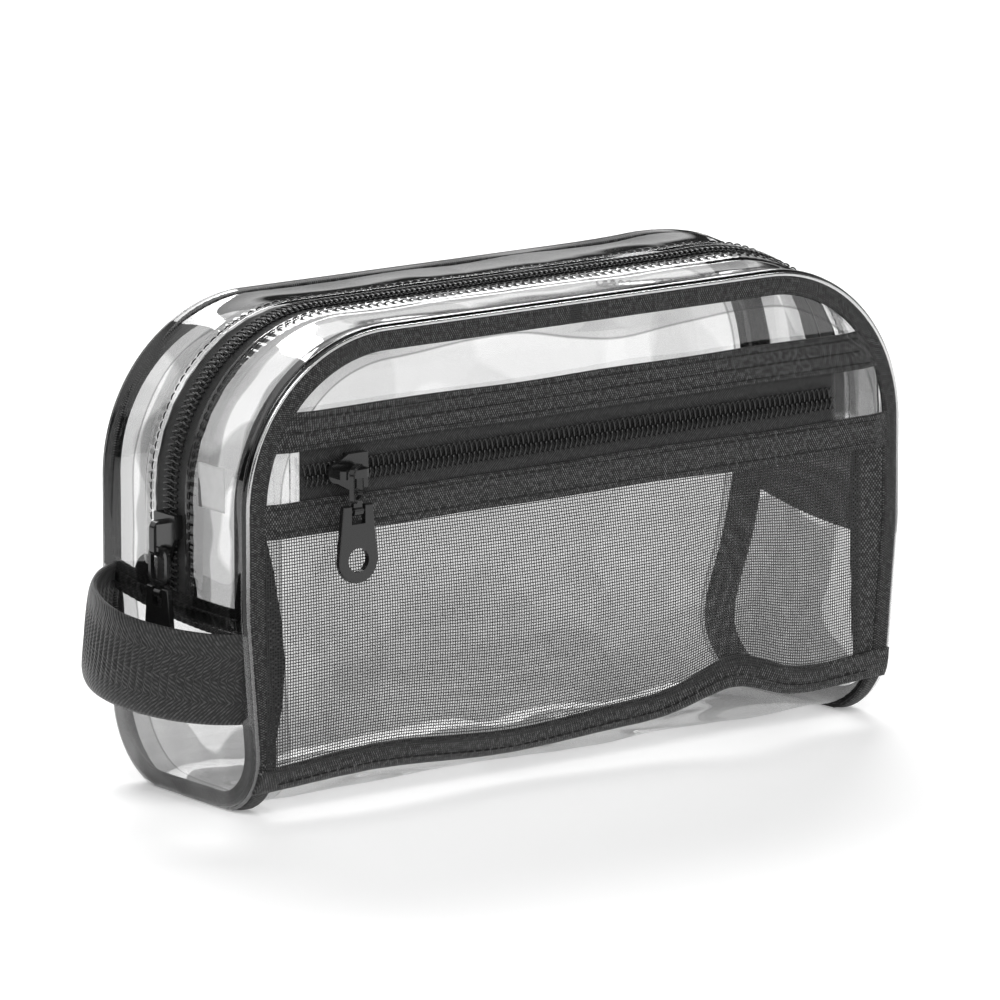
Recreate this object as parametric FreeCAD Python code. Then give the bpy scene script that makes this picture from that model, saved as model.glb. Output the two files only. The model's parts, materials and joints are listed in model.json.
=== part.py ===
"""Clear makeup bag with a curved main zip, a mesh front pocket and a side handle.

Frame: millimetres, +Z up, +X along the bag's width, front face towards -Y.
The origin is the middle of the flat bottom, on the surface the bag stands on.
"""
import FreeCAD, Part
import math
import os

from FreeCAD import Rotation, Vector

# overall bag
BAG_W = 220.0          # width over the sides
BAG_H = 129.0          # height
BAG_D = 66.0           # depth, front sheet to back sheet
TOP_R = 46.0           # radius of the two top corners, seen from the front
BASE_R = 20.0          # radius of the front and back bottom edges, seen from the side
BASE_TAPER = 4.5       # how far each side leans in from the side seam to the base
SEAM_Z = 55.0          # height of the seam between side panel and zip gusset

# sheets and tapes
SHEET_T = 0.5          # clear sheet
BINDING_T = 1.2        # folded woven binding inside the seams
BINDING_FACE = 6.5     # binding width seen on the front and back
BINDING_SIDE = 4.5     # binding width seen on the gusset
SEAM_TAPE_W = 5.0      # woven tape behind each side seam
SEAM_TAPE_T = 0.6
LABEL_T = 0.2
LABEL_W = 12.0         # blank sewn-in label, square
LABEL_Y = -23.5        # its front edge
LABEL_Z = 82.0         # its lower edge

# zips: coil rows sewn on woven tapes
COIL_W = 2.4           # one coil row
COIL_T = 1.6
COIL_GAP = 1.2         # slot between the rows that the slider's post runs in
ZIP_TAPE_T = 0.4
ZIP_TAPE_W = 10.4      # one tape, from the slot outwards
ZIP_WINDOW = 13.0      # tape left showing between the two gusset strips

# sliders, shared by both zips
PLATE_L = 12.8
PLATE_W = 9.5
PLATE_T = 1.1
PLATE_GAP = 0.25       # clearance from plate to coil and to tape
UNDER_T = 1.0          # thickness of the plate behind the tape
NOSE_W = 5.4           # width of the plate's narrow end
LIP_T = 1.0            # guide lips along the top plate's long edges
LIP_CLEAR = 0.3        # lip to tape
POST_W = 0.8
POST_L = 3.6
POST_INSET = 1.0       # from the nose to the post
SINK = 0.2             # how deep joined pieces of one casting overlap
BRIDGE_L = 9.6
BRIDGE_W = 2.2
BRIDGE_T = 0.9
BRIDGE_GAP = 3.2       # free height under the bridge
BRIDGE_R = 2.0         # outer corner radius

# pull link: a flat ring with a hooked stem
RING_W = 8.6
RING_T = 1.2
RING_SIDE = 1.1        # width of the ring's sides
RING_END = 1.0         # height of the ring's top and bottom bars
RING_HOLE_H = 8.0
RING_CORNER = 2.4      # outer corner radius
RING_HOLE_CORNER = 1.9
RING_TURN = 36.0       # turn of the pocket ring, so that it threads the bridge
RING_SEAT = 0.35       # play between ring and bridge
STEM_W = 2.8
STEM_DROP = 2.3        # ring's bottom to the pin's axis
PIN_R = 0.6
PIN_CLEAR = 0.06
EYE_WALL = 0.55

# pull tab
TAB_T = 1.8
TAB_TOP_W = 9.5
TAB_END_W = 12.5
TAB_L = 21.0
TAB_FORK = 1.6         # fork above the pin's axis
TAB_SLOT_W = 4.4
TAB_SLOT_BELOW = 3.4   # slot below the pin's axis
TAB_HOLE_R = 3.3
TAB_EDGE_R = 0.35

# where the closed sliders rest
MAIN_SLIDER_Z = 72.0
POCKET_SLIDER_X = -79.5

# front pocket
POCKET_ZIP_Z = 91.9
POCKET_WINDOW = 13.4   # between the two woven strips
UPPER_STRIP_H = 10.4
LOWER_STRIP_H = 9.4
STRIP_T = 0.7
STRIP_HEM_H = 5.0      # folded edge of the upper strip, sewn to the bag
POCKET_STAND = 1.9     # front sheet to the front of the pocket's zip tape
POCKET_BASE_Z = 8.0    # lower edge of the pocket
POCKET_TAPE_H = 7.0    # bottom tape
POCKET_TAPE_T = 1.8
SIDE_TAPE_LEFT_W = 11.0
SIDE_TAPE_RIGHT_W = 16.0
MESH_T = 0.4
MESH_STAND = 1.2       # front sheet to the mesh along its edges
MESH_BULGE = 4.0       # extra stand-off in the middle of the mesh
MESH_EDGE_BULGE = 0.2  # and at its left and right edges
MESH_FULLNESS = 0.6    # below 1, the bulge rises faster from the edges
MESH_SLICES = 8
TAB_LEFT_END = -93.0   # inner ends of the clear tabs that close the zip's ends
TAB_RIGHT_END = 86.0
END_TAB_T = 1.0
END_TAB_LAP = 2.0      # overlap of the clear tabs behind the woven strips

# side handle
HANDLE_W = 25.0        # webbing width
HANDLE_T = 1.4
HANDLE_BOW = 22.0      # how far the loop stands out
HANDLE_Z = 43.0        # middle of the webbing, half way between its ends
HANDLE_TILT = 9.0      # its back end is sewn in higher
HANDLE_INSET = 2.0     # from the front and back faces to the loop's ends

FAR = 400.0            # larger than the bag, for cutting tools
HALF_W = BAG_W / 2
HALF_D = BAG_D / 2
FRONT_Y = -HALF_D
SLOT_HALF = COIL_GAP / 2


def box(x0, x1, y0, y1, z0, z1):
    return Part.makeBox(x1 - x0, y1 - y0, z1 - z0, Vector(x0, y0, z0))


def face(edges):
    return Part.Face(Part.Wire(edges))


def line(a, b):
    return Part.LineSegment(a, b).toShape()


def arc(a, b, c):
    return Part.Arc(a, b, c).toShape()


def outline(inset):
    """The bag's front view, drawn in XZ: rounded top corners, sides leaning in below the seam."""
    w = HALF_W - inset
    top = BAG_H - inset
    r = TOP_R - inset
    cx = HALF_W - TOP_R
    cz = BAG_H - TOP_R
    low = w - BASE_TAPER
    k = r * math.sqrt(0.5)

    def p(x, z):
        return Vector(x, 0, z)

    return face([
        line(p(-low, 0), p(low, 0)),
        line(p(low, 0), p(w, SEAM_Z)),
        line(p(w, SEAM_Z), p(w, cz)),
        arc(p(w, cz), p(cx + k, cz + k), p(cx, top)),
        line(p(cx, top), p(-cx, top)),
        arc(p(-cx, top), p(-cx - k, cz + k), p(-w, cz)),
        line(p(-w, cz), p(-w, SEAM_Z)),
        line(p(-w, SEAM_Z), p(-low, 0)),
    ])


def arch(inset):
    """Everything inside the outline, right through the bag along Y, open below the base."""
    body = outline(inset).extrude(Vector(0, 2 * FAR, 0))
    body.translate(Vector(0, -FAR, 0))
    return body


def cradle(inset):
    """Everything inside the bag's side view: a U with rounded bottom corners, open upwards."""
    h = HALF_D - inset
    r = BASE_R - inset
    k = r * (1 - math.sqrt(0.5))

    def p(y, z):
        return Vector(-FAR, y, z)

    shape = face([
        line(p(-h, FAR), p(-h, inset + r)),
        arc(p(-h, inset + r), p(-h + k, inset + k), p(-h + r, inset)),
        line(p(-h + r, inset), p(h - r, inset)),
        arc(p(h - r, inset), p(h - k, inset + k), p(h, inset + r)),
        line(p(h, inset + r), p(h, FAR)),
        line(p(h, FAR), p(-h, FAR)),
    ])
    return shape.extrude(Vector(2 * FAR, 0, 0))


def gusset_layer(outer, inner):
    """A band that follows the top and sides between two insets."""
    return arch(outer).cut(arch(inner))


def body_sheet():
    """One clear sheet: front, bottom and back in one piece."""
    return cradle(0).cut(cradle(SHEET_T)).common(arch(0))


def gusset_strip(side):
    """Clear strip beside the main zip; side is -1 at the front, +1 at the back."""
    band = gusset_layer(0, SHEET_T).common(cradle(SHEET_T))
    edge = ZIP_WINDOW / 2
    near, far = sorted((side * edge, side * HALF_D))
    return band.common(box(-FAR, FAR, near, far, SEAM_Z, FAR))


def side_panel(side):
    """Clear lower panel at one end; side is -1 at the left, +1 at the right."""
    band = gusset_layer(0, SHEET_T).common(cradle(SHEET_T))
    near, far = sorted((0, side * FAR))
    return band.common(box(near, far, -FAR, FAR, -1, SEAM_Z))


def seam_binding():
    """Woven tape folded over the sewn edges: one closed loop round the clear sheet."""
    hollow = arch(SHEET_T).common(cradle(SHEET_T))
    core = arch(SHEET_T + BINDING_T).common(cradle(SHEET_T + BINDING_T))
    shell = hollow.cut(core)
    return shell.cut(arch(BINDING_FACE)).cut(cradle(BINDING_SIDE))


def side_seam_tape(side):
    band = gusset_layer(SHEET_T, SHEET_T + SEAM_TAPE_T).common(cradle(BINDING_SIDE))
    near, far = sorted((0, side * FAR))
    half = SEAM_TAPE_W / 2
    return band.common(box(near, far, -FAR, FAR, SEAM_Z - half, SEAM_Z + half))


def along_gusset(outer, inner, near, far):
    """A main-zip layer between two insets and two distances from the bag's middle plane."""
    end = SEAM_Z + SEAM_TAPE_W / 2
    y0, y1 = sorted((near, far))
    return gusset_layer(outer, inner).common(box(-FAR, FAR, y0, y1, end, FAR))


def main_zip_tape(side):
    inner = SHEET_T + ZIP_TAPE_T
    return along_gusset(SHEET_T, inner, side * SLOT_HALF, side * (SLOT_HALF + ZIP_TAPE_W))


def main_zip_coil(side):
    outer = SHEET_T - COIL_T
    return along_gusset(outer, SHEET_T, side * SLOT_HALF, side * (SLOT_HALF + COIL_W))


def label():
    """Blank label sewn inside the left end of the front gusset strip."""
    band = gusset_layer(SHEET_T, SHEET_T + LABEL_T)
    return band.common(box(-FAR, 0, LABEL_Y, LABEL_Y + LABEL_W, LABEL_Z, LABEL_Z + LABEL_W))


# The slider and the pull are drawn about their own origins: X along the zip with the narrow end
# at -X, -Y outwards, and Y = 0 on the front of the zip tape.

PLATE_Y = -(COIL_T + PLATE_GAP)             # back of the top plate
BRIDGE_Y = PLATE_Y - PLATE_T                # front of the top plate
BAR_Y = BRIDGE_Y - BRIDGE_GAP - BRIDGE_T / 2   # middle of the bridge's bar


def plate(y0, y1):
    """A slider plate: wide at +X, rounded off to a narrow nose at -X."""
    half_l = PLATE_L / 2
    half_w = PLATE_W / 2
    nose = NOSE_W / 2
    shoulder = -half_l + nose

    def p(x, z):
        return Vector(x, y0, z)

    shape = face([
        line(p(half_l, -half_w), p(half_l, half_w)),
        line(p(half_l, half_w), p(0, half_w)),
        line(p(0, half_w), p(shoulder, nose)),
        arc(p(shoulder, nose), p(-half_l, 0), p(shoulder, -nose)),
        line(p(shoulder, -nose), p(0, -half_w)),
        line(p(0, -half_w), p(half_l, -half_w)),
    ])
    return shape.extrude(Vector(0, y1 - y0, 0))


def slider_body():
    half_l = PLATE_L / 2
    half_w = PLATE_W / 2
    under = ZIP_TAPE_T + PLATE_GAP
    top = plate(BRIDGE_Y, PLATE_Y)
    bottom = plate(under, under + UNDER_T)
    start = -half_l + POST_INSET
    post = box(start, start + POST_L, PLATE_Y - SINK, under + SINK, -POST_W / 2, POST_W / 2)
    body = top.fuse(bottom).fuse(post)
    for side in (-1, 1):
        z0, z1 = sorted((side * half_w, side * (half_w - LIP_T)))
        body = body.fuse(box(0, half_l, PLATE_Y - SINK, -LIP_CLEAR, z0, z1))
    return body.removeSplitter()


def slider_bridge():
    """Arched bridge over the top plate, along the zip."""
    half = BRIDGE_L / 2
    outer = box(-half, half, BAR_Y - BRIDGE_T / 2, BRIDGE_Y, -BRIDGE_W / 2, BRIDGE_W / 2)
    corners = [e for e in outer.Edges
               if e.Length < BRIDGE_W + 0.01 and e.Vertexes[0].Y < BAR_Y and e.Vertexes[1].Y < BAR_Y]
    outer = outer.makeFillet(BRIDGE_R, corners)
    inside = half - BRIDGE_T
    return outer.cut(box(-inside, inside, BRIDGE_Y - BRIDGE_GAP, BRIDGE_Y + 1, -BRIDGE_W, BRIDGE_W))


def rounded_plate(x0, x1, y0, y1, z0, z1, r):
    body = box(x0, x1, y0, y1, z0, z1)
    corners = [e for e in body.Edges if abs(e.Vertexes[0].Y - e.Vertexes[1].Y) > (y1 - y0) / 2]
    return body.makeFillet(r, corners)


def pull_link(top_inside, turn):
    """Flat ring hanging from the origin, its hole starting top_inside above it, with a hooked stem."""
    low_inside = top_inside - RING_HOLE_H
    hole = RING_W / 2 - RING_SIDE
    ring = rounded_plate(-RING_W / 2, RING_W / 2, -RING_T / 2, RING_T / 2,
                         low_inside - RING_END, top_inside + RING_END, RING_CORNER)
    ring = ring.cut(rounded_plate(-hole, hole, -RING_T, RING_T, low_inside, top_inside,
                                  RING_HOLE_CORNER))
    ring.rotate(Vector(0, 0, 0), Vector(0, 0, 1), turn)
    pin_z = pin_height(top_inside)
    eye_r = PIN_R + PIN_CLEAR + EYE_WALL
    stem = box(-STEM_W / 2, STEM_W / 2, -RING_T / 2, RING_T / 2, pin_z, low_inside - RING_END / 2)
    eye = Part.makeCylinder(eye_r, STEM_W, Vector(-STEM_W / 2, 0, pin_z), Vector(1, 0, 0))
    bore = Part.makeCylinder(PIN_R + PIN_CLEAR, 2 * STEM_W, Vector(-STEM_W, 0, pin_z), Vector(1, 0, 0))
    return ring.fuse(stem).fuse(eye).cut(bore).removeSplitter()


def pin_height(top_inside):
    return top_inside - RING_HOLE_H - RING_END - STEM_DROP


def pull_tab():
    """Tongue-shaped tab with a forked top, a pin across the fork and a round hole at its end."""
    r = TAB_END_W / 2
    end_z = TAB_FORK - TAB_L + r
    top = TAB_TOP_W / 2

    def p(x, z):
        return Vector(x, -TAB_T / 2, z)

    shape = face([
        line(p(-top, TAB_FORK), p(top, TAB_FORK)),
        line(p(top, TAB_FORK), p(r, end_z)),
        arc(p(r, end_z), p(0, end_z - r), p(-r, end_z)),
        line(p(-r, end_z), p(-top, TAB_FORK)),
    ])
    tab = shape.extrude(Vector(0, TAB_T, 0))
    rim = [e for e in tab.Edges if abs(e.Vertexes[0].Y - e.Vertexes[-1].Y) < 1e-6]
    tab = tab.makeFillet(TAB_EDGE_R, rim)
    slot = box(-TAB_SLOT_W / 2, TAB_SLOT_W / 2, -TAB_T, TAB_T, -TAB_SLOT_BELOW, 2 * TAB_FORK)
    hole = Part.makeCylinder(TAB_HOLE_R, 2 * TAB_T, Vector(0, -TAB_T, end_z), Vector(0, 1, 0))
    start = -TAB_SLOT_W / 2 - SINK
    pin = Part.makeCylinder(PIN_R, TAB_SLOT_W + 2 * SINK, Vector(start, 0, 0), Vector(1, 0, 0))
    return tab.cut(slot).cut(hole).fuse(pin).removeSplitter()


POCKET_TAPE_Y = FRONT_Y - POCKET_STAND      # front of the pocket's zip tape
MAIN_TAPE_X = -HALF_W + SHEET_T             # front of the main zip's tape on the left side
POCKET_SEAT = BRIDGE_W / 2 + RING_SEAT      # hole's top above the bridge's middle line
MAIN_SEAT = -RING_END / 2                   # the ring's top bar turns about its own middle
MAIN_PIVOT_DROP = BRIDGE_L / 2 - BRIDGE_T - RING_END / 2 - RING_SEAT   # below the slider's middle


def on_pocket(shape):
    shape.translate(Vector(POCKET_SLIDER_X, POCKET_TAPE_Y, POCKET_ZIP_Z))
    return shape


def on_side(shape):
    """From the slider's own frame to the left side: nose down, outwards to -X."""
    shape.rotate(Vector(0, 0, 0), Vector(1, 1, 1), -120)
    shape.translate(Vector(MAIN_TAPE_X, 0, MAIN_SLIDER_Z))
    return shape


def pocket_pull(shape, drop):
    shape.translate(Vector(POCKET_SLIDER_X, POCKET_TAPE_Y + BAR_Y, POCKET_ZIP_Z + drop))
    return shape


def main_pull(shape, drop):
    shape.rotate(Vector(0, 0, 0), Vector(0, 0, 1), -90)
    x = MAIN_TAPE_X + BRIDGE_Y - BRIDGE_GAP / 2
    shape.translate(Vector(x, 0, MAIN_SLIDER_Z - MAIN_PIVOT_DROP + drop))
    return shape


def strip(x0, x1, back, front, z0, z1):
    """A flat pocket layer, given by its stand-off from the front sheet, trimmed to the bag's outline."""
    layer = box(x0, x1, FRONT_Y - front, FRONT_Y - back, z0, z1)
    return layer.common(arch(0))


WINDOW_LOW = POCKET_ZIP_Z - POCKET_WINDOW / 2
WINDOW_TOP = POCKET_ZIP_Z + POCKET_WINDOW / 2
STRIP_FRONT = POCKET_STAND + STRIP_T
UPPER_TOP = WINDOW_TOP + UPPER_STRIP_H
LOWER_BASE = WINDOW_LOW - LOWER_STRIP_H


def pocket_upper_strip():
    hem = strip(-FAR, FAR, 0, STRIP_FRONT, UPPER_TOP - STRIP_HEM_H, UPPER_TOP)
    return hem.fuse(strip(-FAR, FAR, POCKET_STAND, STRIP_FRONT, WINDOW_TOP, UPPER_TOP)).removeSplitter()


def pocket_lower_strip():
    return strip(-FAR, FAR, POCKET_STAND, STRIP_FRONT, LOWER_BASE, WINDOW_LOW)


def beside_slot(side, width):
    """Lower and upper edge of a layer beside the pocket zip's slot; side is -1 below, +1 above."""
    return sorted((POCKET_ZIP_Z + side * SLOT_HALF, POCKET_ZIP_Z + side * (SLOT_HALF + width)))


def pocket_zip_tape(side):
    z0, z1 = beside_slot(side, ZIP_TAPE_W)
    return strip(TAB_LEFT_END, TAB_RIGHT_END, POCKET_STAND - ZIP_TAPE_T, POCKET_STAND, z0, z1)


def pocket_zip_coil(side):
    z0, z1 = beside_slot(side, COIL_W)
    return strip(TAB_LEFT_END, TAB_RIGHT_END, POCKET_STAND, POCKET_STAND + COIL_T, z0, z1)


def pocket_end_tab(side):
    """Folded clear tab that closes one end of the pocket's zip."""
    x0, x1 = (-FAR, TAB_LEFT_END) if side < 0 else (TAB_RIGHT_END, FAR)
    return strip(x0, x1, POCKET_STAND - END_TAB_T, POCKET_STAND,
                 WINDOW_LOW - END_TAB_LAP, WINDOW_TOP + END_TAB_LAP)


def pocket_side_tape(side):
    width = SIDE_TAPE_LEFT_W if side < 0 else SIDE_TAPE_RIGHT_W
    x0, x1 = sorted((side * HALF_W, side * (HALF_W - width)))
    return strip(x0, x1, 0, MESH_STAND, POCKET_BASE_Z + POCKET_TAPE_H, WINDOW_LOW - END_TAB_LAP)


def pocket_bottom_tape():
    """Woven tape along the pocket's lower edge, following the sheet's rounded bottom edge."""
    band = cradle(-POCKET_TAPE_T).cut(cradle(0)).common(arch(0))
    return band.common(box(-FAR, FAR, -FAR, 0, POCKET_BASE_Z, POCKET_BASE_Z + POCKET_TAPE_H))


def mesh_section(x, bulge):
    """Thin upright slice through the mesh at x, bowed forward by bulge."""
    z0 = POCKET_BASE_Z + POCKET_TAPE_H
    z1 = LOWER_BASE
    middle = (z0 + z1) / 2
    back = FRONT_Y - MESH_STAND
    front = back - MESH_T

    def p(y, z):
        return Vector(x, y, z)

    return Part.Wire([
        arc(p(back, z0), p(back - bulge, middle), p(back, z1)),
        line(p(back, z1), p(front, z1)),
        arc(p(front, z1), p(front - bulge, middle), p(front, z0)),
        line(p(front, z0), p(back, z0)),
    ])


def pocket_mesh():
    x0 = -HALF_W + SIDE_TAPE_LEFT_W
    x1 = HALF_W - SIDE_TAPE_RIGHT_W
    slices = []
    for i in range(MESH_SLICES + 1):
        share = i / MESH_SLICES
        bulge = MESH_EDGE_BULGE + MESH_BULGE * abs(math.sin(math.pi * share)) ** MESH_FULLNESS
        slices.append(mesh_section(x0 + (x1 - x0) * share, bulge))
    return Part.makeLoft(slices, True, True)


def side_handle():
    """Webbing loop bowed out from the left side between the front and back seams."""
    end_y = HALF_D - HANDLE_INSET
    end_x = -HALF_W + BASE_TAPER + SHEET_T
    out_x = -HALF_W - HANDLE_BOW

    def curve(grow):
        return [Vector(end_x, -end_y - grow, 0), Vector(out_x - grow, 0, 0), Vector(end_x, end_y + grow, 0)]

    a, b, c = curve(0)
    d, e, f = curve(-HANDLE_T)
    shape = face([arc(a, b, c), line(c, f), arc(f, e, d), line(d, a)])
    loop = shape.extrude(Vector(0, 0, HANDLE_W))
    loop.translate(Vector(0, 0, HANDLE_Z - HANDLE_W / 2))
    loop.rotate(Vector(0, 0, HANDLE_Z), Vector(1, 0, 0), HANDLE_TILT)
    return loop.cut(arch(0))


def build():
    link = pull_link(POCKET_SEAT, RING_TURN)
    side_link = pull_link(MAIN_SEAT, 0)
    return {
        "body_sheet": body_sheet(),
        "gusset_strip_front": gusset_strip(-1),
        "gusset_strip_back": gusset_strip(1),
        "side_panel_left": side_panel(-1),
        "side_panel_right": side_panel(1),
        "seam_binding": seam_binding(),
        "side_seam_tape_left": side_seam_tape(-1),
        "side_seam_tape_right": side_seam_tape(1),
        "main_zip_tape_front": main_zip_tape(-1),
        "main_zip_tape_back": main_zip_tape(1),
        "main_zip_coil_front": main_zip_coil(-1),
        "main_zip_coil_back": main_zip_coil(1),
        "label_blank": label(),
        "side_handle": side_handle(),
        "pocket_upper_strip": pocket_upper_strip(),
        "pocket_lower_strip": pocket_lower_strip(),
        "pocket_zip_tape_upper": pocket_zip_tape(1),
        "pocket_zip_tape_lower": pocket_zip_tape(-1),
        "pocket_zip_coil_upper": pocket_zip_coil(1),
        "pocket_zip_coil_lower": pocket_zip_coil(-1),
        "pocket_end_tab_left": pocket_end_tab(-1),
        "pocket_end_tab_right": pocket_end_tab(1),
        "pocket_side_tape_left": pocket_side_tape(-1),
        "pocket_side_tape_right": pocket_side_tape(1),
        "pocket_bottom_tape": pocket_bottom_tape(),
        "pocket_mesh": pocket_mesh(),
        "pocket_slider_body": on_pocket(slider_body()),
        "pocket_slider_bridge": on_pocket(slider_bridge()),
        "pocket_pull_link": pocket_pull(link, 0),
        "pocket_pull_tab": pocket_pull(pull_tab(), pin_height(POCKET_SEAT)),
        "main_slider_body": on_side(slider_body()),
        "main_slider_bridge": on_side(slider_bridge()),
        "main_pull_link": main_pull(side_link, 0),
        "main_pull_tab": main_pull(pull_tab(), pin_height(MAIN_SEAT)),
    }


def main():
    os.makedirs("parts", exist_ok=True)
    for name, shape in build().items():
        shape.exportStep("parts/" + name + ".step")
        b = shape.BoundBox
        print("%-24s solids %d valid %s  x %.1f..%.1f  y %.1f..%.1f  z %.1f..%.1f" % (
            name, len(shape.Solids), shape.isValid(), b.XMin, b.XMax, b.YMin, b.YMax, b.ZMin, b.ZMax))


main()
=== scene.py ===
"""Looks of a clear makeup bag: glossy clear sheets, woven binding, coil zips, net pocket, side handle.

Shapes are worked out in millimetres in the CAD's frame and turned into metres when a mesh is made.
"""
import json
import math

import bpy
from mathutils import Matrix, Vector, noise


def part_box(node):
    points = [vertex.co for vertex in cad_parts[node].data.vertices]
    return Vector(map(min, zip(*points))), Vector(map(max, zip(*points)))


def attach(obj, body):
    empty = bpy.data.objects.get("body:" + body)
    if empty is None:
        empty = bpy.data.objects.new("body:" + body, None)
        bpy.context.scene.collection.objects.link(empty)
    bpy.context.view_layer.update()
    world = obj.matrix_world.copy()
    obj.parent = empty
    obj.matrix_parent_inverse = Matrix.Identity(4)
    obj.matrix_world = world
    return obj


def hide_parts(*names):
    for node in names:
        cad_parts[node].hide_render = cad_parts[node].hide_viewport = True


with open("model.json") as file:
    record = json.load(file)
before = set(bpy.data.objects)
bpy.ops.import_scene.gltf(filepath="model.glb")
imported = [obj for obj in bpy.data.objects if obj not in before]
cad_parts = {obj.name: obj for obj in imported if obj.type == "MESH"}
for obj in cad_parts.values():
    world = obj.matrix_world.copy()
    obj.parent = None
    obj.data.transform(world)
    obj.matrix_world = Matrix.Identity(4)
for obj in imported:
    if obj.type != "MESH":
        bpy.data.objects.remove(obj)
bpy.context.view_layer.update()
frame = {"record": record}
MM = 0.001

# ---------------------------------------------------------------- sizes, from the frame and the design


def span(node):
    """Lowest and highest corner of a CAD node, in millimetres."""
    low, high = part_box(node)
    return [c / MM for c in low], [c / MM for c in high]


SHEET_HIGH = span("body_sheet")[1]
HALF_W = SHEET_HIGH[0]
HALF_D = SHEET_HIGH[1]
HEIGHT = SHEET_HIGH[2]
SEAM_Z = span("side_panel_left")[1][2]
TOP_R = 46.0           # top corners, seen from the front
BASE_R = 20.0          # front and back bottom edges, seen from the side
TAPER = 4.5            # lean of each side below its seam
SEAM_RISE = 2.6        # the side seams climb towards the back
SEAM_SAG = 2.2         # and sag in their middle
ROLL_R = 1.3           # rounded edge of the clear sheets at the sewn corners
SHEET_T = 0.5
BIND_T = 0.95
BIND_FACE = 6.6        # binding seen on the front and back
BIND_SIDE = 4.6        # binding seen on the gusset
ZIP_HALF_WINDOW = 6.5
GUSSET_W = HALF_D - ZIP_HALF_WINDOW
COIL_PITCH = 1.7
COIL_REACH = 1.5       # half width of a coil turn
COIL_MID = 1.46        # middle of a coil row from the zip's middle
COIL_RISE = 0.5
COIL_PROUD = 0.3       # middle of the main coil outside the bag's outline
TURN_STEPS = 12        # points in one coil turn
WIRE_R = 0.31
STITCH_PITCH = 2.7
STITCH_LEN = 2.1
STITCH_MARGIN = 8.0    # from the sides to the first stitch of a row
HEM = 6.8              # raised hem of the gusset sheet beside the zip
SEAM_TAPE_T = 0.7      # thicknesses end in _T, radii in _R
PATCH_T = 0.5
ZIP_TAPE_W = 8.4
ZIP_TAPE_T = 0.45
BEAD_R = 0.62
TAB_T = 0.3
LABEL_T = 0.12
NET_PITCH = 0.8
NET_THREAD = 0.26
SQUARE_CORNER = 7.0    # push on the right back corner
SQUARE_SPREAD = 24.0
PUSH_HIGH = (3.0, 82.0, 22.0)     # lean outwards below that corner: amount, height, spread
PUSH_LOW = (6.5, 17.0, 20.0)      # and inwards near the floor
FLOOR_GAP = 0.1        # lowest height of any sheet's middle

# ---------------------------------------------------------------- camera

VIEW_AZ = math.radians(-36.49)
VIEW_EL = math.radians(12.0)
VIEW_DIST = 2.8068
VIEW_TARGET = Vector((0, 0, 0.066))


def add_camera():
    camera = bpy.data.cameras.new("camera")
    camera.lens = 372.9
    camera.sensor_width = 36
    camera.shift_x = -0.0059
    camera.shift_y = 0.0069
    camera.clip_end = 50
    back = Vector((math.sin(VIEW_AZ) * math.cos(VIEW_EL), -math.cos(VIEW_AZ) * math.cos(VIEW_EL),
                   math.sin(VIEW_EL)))
    obj = bpy.data.objects.new("camera", camera)
    bpy.context.collection.objects.link(obj)
    obj.location = VIEW_TARGET + back * VIEW_DIST
    obj.rotation_euler = back.to_track_quat("Z", "Y").to_euler()
    bpy.context.scene.camera = obj


add_camera()

# ---------------------------------------------------------------- materials


class Nodes:
    """Short calls for building a material's node tree."""

    def __init__(self, name):
        self.material = bpy.data.materials.new(name)
        self.material.use_nodes = True
        self.tree = self.material.node_tree
        self.tree.nodes.clear()
        self.out = self.tree.nodes.new("ShaderNodeOutputMaterial")

    def add(self, kind, links=(), **settings):
        node = self.tree.nodes.new(kind)
        for key, value in settings.items():
            setattr(node, key, value)
        for key, value in dict(links).items():
            self.put(value, node.inputs[key])
        return node

    def put(self, value, socket):
        if isinstance(value, bpy.types.NodeSocket):
            self.tree.links.new(value, socket)
        else:
            socket.default_value = value

    def math(self, operation, a, b=0.0, c=0.0):
        return self.add("ShaderNodeMath", {0: a, 1: b, 2: c}, operation=operation).outputs[0]

    def ramp(self, value, stops):
        node = self.add("ShaderNodeValToRGB", {"Fac": value})
        ramp = node.color_ramp
        while len(ramp.elements) < len(stops):
            ramp.elements.new(0.5)
        for element, (place, tone) in zip(ramp.elements, stops):
            element.position = place
            element.color = (tone, tone, tone, 1)
        return node.outputs["Color"]

    def uv(self):
        coords = self.add("ShaderNodeUVMap", uv_map="cloth")
        parts = self.add("ShaderNodeSeparateXYZ", {0: coords.outputs["UV"]})
        return coords.outputs["UV"], parts.outputs["X"], parts.outputs["Y"]

    def noise(self, where, scale, detail=2.0):
        links = {"Vector": where, "Scale": scale, "Detail": detail}
        return self.add("ShaderNodeTexNoise", links).outputs["Fac"]

    def wave(self, value, pitch):
        """Sine of the given length, from -1 to 1."""
        return self.math("SINE", self.math("MULTIPLY", value, 2 * math.pi / pitch))

    def bump(self, height, strength, distance):
        links = {"Height": height, "Strength": strength, "Distance": distance}
        return self.add("ShaderNodeBump", links).outputs["Normal"]

    def finish(self, shader):
        self.tree.links.new(shader, self.out.inputs["Surface"])
        return self.material


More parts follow.
